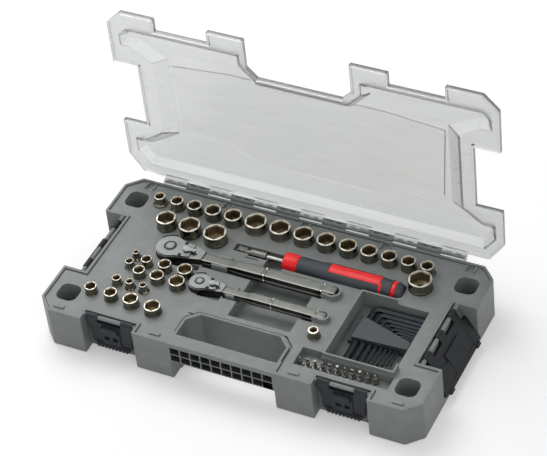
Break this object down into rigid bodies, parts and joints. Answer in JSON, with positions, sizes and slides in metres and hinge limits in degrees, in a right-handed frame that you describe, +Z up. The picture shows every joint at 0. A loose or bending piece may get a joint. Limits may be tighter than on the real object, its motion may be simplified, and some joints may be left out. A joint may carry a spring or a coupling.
{
  "type": "socket wrench set in case",
  "caption": "Grey carry case with a clear hinged lid and flip latches, holding sockets, two ratchets, a spinner driver, bits and nested hex keys in a fitted tray.",
  "frame": {"origin": "centre of the base's underside", "axes": "+X along the case to its right end, +Y towards the hinge, +Z up"},
  "size_m": [0.4514, 0.2424, 0.279],
  "materials": {
    "case_grey": "fine grained moulding",
    "tray_grey": "fine grained moulding",
    "lid_clear": "clear",
    "pin_steel": "drawn",
    "front_latch_dark": "fine grained moulding",
    "side_latch_dark": "fine grained moulding",
    "socket_chrome": "dark polished",
    "ratchet_chrome": "satin with polished edges",
    "lever_steel": "satin",
    "driver_red": "satin",
    "driver_black": "soft touch",
    "bit_steel": "satin",
    "key_black": "black oxide",
    "holder_black": "satin"
  },
  "bodies": {
    "case": {"case_base": "case_grey", "tool_tray_left": "tray_grey", "tool_tray_middle": "tray_grey", "tool_tray_right": "tray_grey", "hinge_pin": "pin_steel"},
    "lid": {"lid": "lid_clear"},
    "front_latch_left": {"front_latch_left": "front_latch_dark"},
    "front_latch_right": {"front_latch_right": "front_latch_dark"},
    "side_latch_left": {"side_latch_left": "side_latch_dark"},
    "side_latch_right": {"side_latch_right": "side_latch_dark"},
    "socket38_row_1": {"socket38_row_1": "socket_chrome"},
    "socket38_row_2": {"socket38_row_2": "socket_chrome"},
    "socket38_row_3": {"socket38_row_3": "socket_chrome"},
    "socket38_row_4": {"socket38_row_4": "socket_chrome"},
    "socket38_row_5": {"socket38_row_5": "socket_chrome"},
    "socket38_row_6": {"socket38_row_6": "socket_chrome"},
    "socket38_row_7": {"socket38_row_7": "socket_chrome"},
    "socket38_row_8": {"socket38_row_8": "socket_chrome"},
    "socket38_row_9": {"socket38_row_9": "socket_chrome"},
    "socket38_row_10": {"socket38_row_10": "socket_chrome"},
    "socket38_row_11": {"socket38_row_11": "socket_chrome"},
    "socket38_row_12": {"socket38_row_12": "socket_chrome"},
    "socket38_row_13": {"socket38_row_13": "socket_chrome"},
    "socket38_row_14": {"socket38_row_14": "socket_chrome"},
    "socket38_large_1": {"socket38_large_1": "socket_chrome"},
    "socket38_large_2": {"socket38_large_2": "socket_chrome"},
    "socket38_large_3": {"socket38_large_3": "socket_chrome"},
    "socket38_large_4": {"socket38_large_4": "socket_chrome"},
    "socket14_1": {"socket14_1": "socket_chrome"},
    "socket14_2": {"socket14_2": "socket_chrome"},
    "socket14_3": {"socket14_3": "socket_chrome"},
    "socket14_4": {"socket14_4": "socket_chrome"},
    "socket14_5": {"socket14_5": "socket_chrome"},
    "socket14_6": {"socket14_6": "socket_chrome"},
    "socket14_7": {"socket14_7": "socket_chrome"},
    "socket14_8": {"socket14_8": "socket_chrome"},
    "socket14_9": {"socket14_9": "socket_chrome"},
    "socket14_10": {"socket14_10": "socket_chrome"},
    "socket14_11": {"socket14_11": "socket_chrome"},
    "socket14_12": {"socket14_12": "socket_chrome"},
    "socket14_13": {"socket14_13": "socket_chrome"},
    "socket14_14": {"socket14_14": "socket_chrome"},
    "socket14_15": {"socket14_15": "socket_chrome"},
    "bit_adapter": {"bit_adapter": "socket_chrome"},
    "ratchet38": {"ratchet38_body": "ratchet_chrome", "ratchet38_cover": "ratchet_chrome"},
    "ratchet38_drive": {"ratchet38_drive": "ratchet_chrome"},
    "ratchet38_button": {"ratchet38_button": "lever_steel"},
    "ratchet38_selector": {"ratchet38_selector": "lever_steel"},
    "ratchet14": {"ratchet14_body": "ratchet_chrome", "ratchet14_cover": "ratchet_chrome"},
    "ratchet14_drive": {"ratchet14_drive": "ratchet_chrome"},
    "ratchet14_button": {"ratchet14_button": "lever_steel"},
    "ratchet14_selector": {"ratchet14_selector": "lever_steel"},
    "driver": {"driver_shaft": "ratchet_chrome", "driver_core": "driver_red", "driver_grip": "driver_black"},
    "hex_key_set": {"hex_key_holder": "holder_black", "hex_keys": "key_black"},
    "bits": {"bits": "bit_steel"}
  },
  "joints": [
    {"name": "lid_hinge", "type": "hinge", "parent": "case", "child": "lid", "pos_m": [0, 0.1155, 0.051], "axis": [1, 0, 0], "range_deg": [0, 90]},
    {"name": "front_latch_left_flip", "type": "hinge", "parent": "case", "child": "front_latch_left", "pos_m": [-0.134, -0.1, 0.0498], "axis": [-1, 0, 0], "range_deg": [0, 180]},
    {"name": "front_latch_right_flip", "type": "hinge", "parent": "case", "child": "front_latch_right", "pos_m": [0.134, -0.1, 0.0498], "axis": [-1, 0, 0], "range_deg": [0, 180]},
    {"name": "side_latch_left_flip", "type": "hinge", "parent": "case", "child": "side_latch_left", "pos_m": [-0.1975, 0.0017, 0.0498], "axis": [0, 1, 0], "range_deg": [0, 149]},
    {"name": "side_latch_right_flip", "type": "hinge", "parent": "case", "child": "side_latch_right", "pos_m": [0.1975, 0.0017, 0.0498], "axis": [0, -1, 0], "range_deg": [0, 149]},
    {"name": "socket38_row_1_lift", "type": "slide", "parent": "case", "child": "socket38_row_1", "axis": [0, 0, -1], "range_m": [-0.05, 0]},
    {"name": "socket38_row_2_lift", "type": "slide", "parent": "case", "child": "socket38_row_2", "axis": [0, 0, -1], "range_m": [-0.05, 0]},
    {"name": "socket38_row_3_lift", "type": "slide", "parent": "case", "child": "socket38_row_3", "axis": [0, 0, -1], "range_m": [-0.05, 0]},
    {"name": "socket38_row_4_lift", "type": "slide", "parent": "case", "child": "socket38_row_4", "axis": [0, 0, -1], "range_m": [-0.05, 0]},
    {"name": "socket38_row_5_lift", "type": "slide", "parent": "case", "child": "socket38_row_5", "axis": [0, 0, -1], "range_m": [-0.05, 0]},
    {"name": "socket38_row_6_lift", "type": "slide", "parent": "case", "child": "socket38_row_6", "axis": [0, 0, -1], "range_m": [-0.05, 0]},
    {"name": "socket38_row_7_lift", "type": "slide", "parent": "case", "child": "socket38_row_7", "axis": [0, 0, -1], "range_m": [-0.05, 0]},
    {"name": "socket38_row_8_lift", "type": "slide", "parent": "case", "child": "socket38_row_8", "axis": [0, 0, -1], "range_m": [-0.05, 0]},
    {"name": "socket38_row_9_lift", "type": "slide", "parent": "case", "child": "socket38_row_9", "axis": [0, 0, -1], "range_m": [-0.05, 0]},
    {"name": "socket38_row_10_lift", "type": "slide", "parent": "case", "child": "socket38_row_10", "axis": [0, 0, -1], "range_m": [-0.05, 0]},
    {"name": "socket38_row_11_lift", "type": "slide", "parent": "case", "child": "socket38_row_11", "axis": [0, 0, -1], "range_m": [-0.05, 0]},
    {"name": "socket38_row_12_lift", "type": "slide", "parent": "case", "child": "socket38_row_12", "axis": [0, 0, -1], "range_m": [-0.05, 0]},
    {"name": "socket38_row_13_lift", "type": "slide", "parent": "case", "child": "socket38_row_13", "axis": [0, 0, -1], "range_m": [-0.05, 0]},
    {"name": "socket38_row_14_lift", "type": "slide", "parent": "case", "child": "socket38_row_14", "axis": [0, 0, -1], "range_m": [-0.05, 0]},
    {"name": "socket38_large_1_lift", "type": "slide", "parent": "case", "child": "socket38_large_1", "axis": [0, 0, -1], "range_m": [-0.05, 0]},
    {"name": "socket38_large_2_lift", "type": "slide", "parent": "case", "child": "socket38_large_2", "axis": [0, 0, -1], "range_m": [-0.05, 0]},
    {"name": "socket38_large_3_lift", "type": "slide", "parent": "case", "child": "socket38_large_3", "axis": [0, 0, -1], "range_m": [-0.05, 0]},
    {"name": "socket38_large_4_lift", "type": "slide", "parent": "case", "child": "socket38_large_4", "axis": [0, 0, -1], "range_m": [-0.05, 0]},
    {"name": "socket14_1_lift", "type": "slide", "parent": "case", "child": "socket14_1", "axis": [0, 0, -1], "range_m": [-0.05, 0]},
    {"name": "socket14_2_lift", "type": "slide", "parent": "case", "child": "socket14_2", "axis": [0, 0, -1], "range_m": [-0.05, 0]},
    {"name": "socket14_3_lift", "type": "slide", "parent": "case", "child": "socket14_3", "axis": [0, 0, -1], "range_m": [-0.05, 0]},
    {"name": "socket14_4_lift", "type": "slide", "parent": "case", "child": "socket14_4", "axis": [0, 0, -1], "range_m": [-0.05, 0]},
    {"name": "socket14_5_lift", "type": "slide", "parent": "case", "child": "socket14_5", "axis": [0, 0, -1], "range_m": [-0.05, 0]},
    {"name": "socket14_6_lift", "type": "slide", "parent": "case", "child": "socket14_6", "axis": [0, 0, -1], "range_m": [-0.05, 0]},
    {"name": "socket14_7_lift", "type": "slide", "parent": "case", "child": "socket14_7", "axis": [0, 0, -1], "range_m": [-0.05, 0]},
    {"name": "socket14_8_lift", "type": "slide", "parent": "case", "child": "socket14_8", "axis": [0, 0, -1], "range_m": [-0.05, 0]},
    {"name": "socket14_9_lift", "type": "slide", "parent": "case", "child": "socket14_9", "axis": [0, 0, -1], "range_m": [-0.05, 0]},
    {"name": "socket14_10_lift", "type": "slide", "parent": "case", "child": "socket14_10", "axis": [0, 0, -1], "range_m": [-0.05, 0]},
    {"name": "socket14_11_lift", "type": "slide", "parent": "case", "child": "socket14_11", "axis": [0, 0, -1], "range_m": [-0.05, 0]},
    {"name": "socket14_12_lift", "type": "slide", "parent": "case", "child": "socket14_12", "axis": [0, 0, -1], "range_m": [-0.05, 0]},
    {"name": "socket14_13_lift", "type": "slide", "parent": "case", "child": "socket14_13", "axis": [0, 0, -1], "range_m": [-0.05, 0]},
    {"name": "socket14_14_lift", "type": "slide", "parent": "case", "child": "socket14_14", "axis": [0, 0, -1], "range_m": [-0.05, 0]},
    {"name": "socket14_15_lift", "type": "slide", "parent": "case", "child": "socket14_15", "axis": [0, 0, -1], "range_m": [-0.05, 0]},
    {"name": "bit_adapter_lift", "type": "slide", "parent": "case", "child": "bit_adapter", "axis": [0, 0, -1], "range_m": [-0.05, 0]},
    {"name": "ratchet38_lift", "type": "slide", "parent": "case", "child": "ratchet38", "axis": [0, 0, -1], "range_m": [-0.06, 0]},
    {"name": "ratchet38_spin", "type": "hinge", "parent": "ratchet38", "child": "ratchet38_drive", "pos_m": [-0.1215, 0.017, 0.05], "axis": [0, 0, 1], "continuous": true},
    {"name": "ratchet38_selector_turn", "type": "hinge", "parent": "ratchet38", "child": "ratchet38_selector", "pos_m": [-0.1015, 0.017, 0.05], "axis": [0, 0, 1], "range_deg": [-20, 20]},
    {"name": "ratchet38_button_press", "type": "slide", "parent": "ratchet38_drive", "child": "ratchet38_button", "axis": [0, 0, -1], "range_m": [0, 0.0015], "stiffness_N_per_m": 400},
    {"name": "ratchet14_lift", "type": "slide", "parent": "case", "child": "ratchet14", "axis": [0, 0, -1], "range_m": [-0.06, 0]},
    {"name": "ratchet14_spin", "type": "hinge", "parent": "ratchet14", "child": "ratchet14_drive", "pos_m": [-0.0678, -0.0193, 0.05], "axis": [0, 0, 1], "continuous": true},
    {"name": "ratchet14_selector_turn", "type": "hinge", "parent": "ratchet14", "child": "ratchet14_selector", "pos_m": [-0.0528, -0.0193, 0.05], "axis": [0, 0, 1], "range_deg": [-20, 20]},
    {"name": "ratchet14_button_press", "type": "slide", "parent": "ratchet14_drive", "child": "ratchet14_button", "axis": [0, 0, -1], "range_m": [0, 0.0015], "stiffness_N_per_m": 400},
    {"name": "driver_lift", "type": "slide", "parent": "case", "child": "driver", "axis": [0, 0, -1], "range_m": [-0.06, 0]},
    {"name": "hex_key_set_lift", "type": "slide", "parent": "case", "child": "hex_key_set", "axis": [0, 0, -1], "range_m": [-0.06, 0]},
    {"name": "bits_lift", "type": "slide", "parent": "case", "child": "bits", "axis": [0, 0, -1], "range_m": [-0.05, 0]}
  ]
}
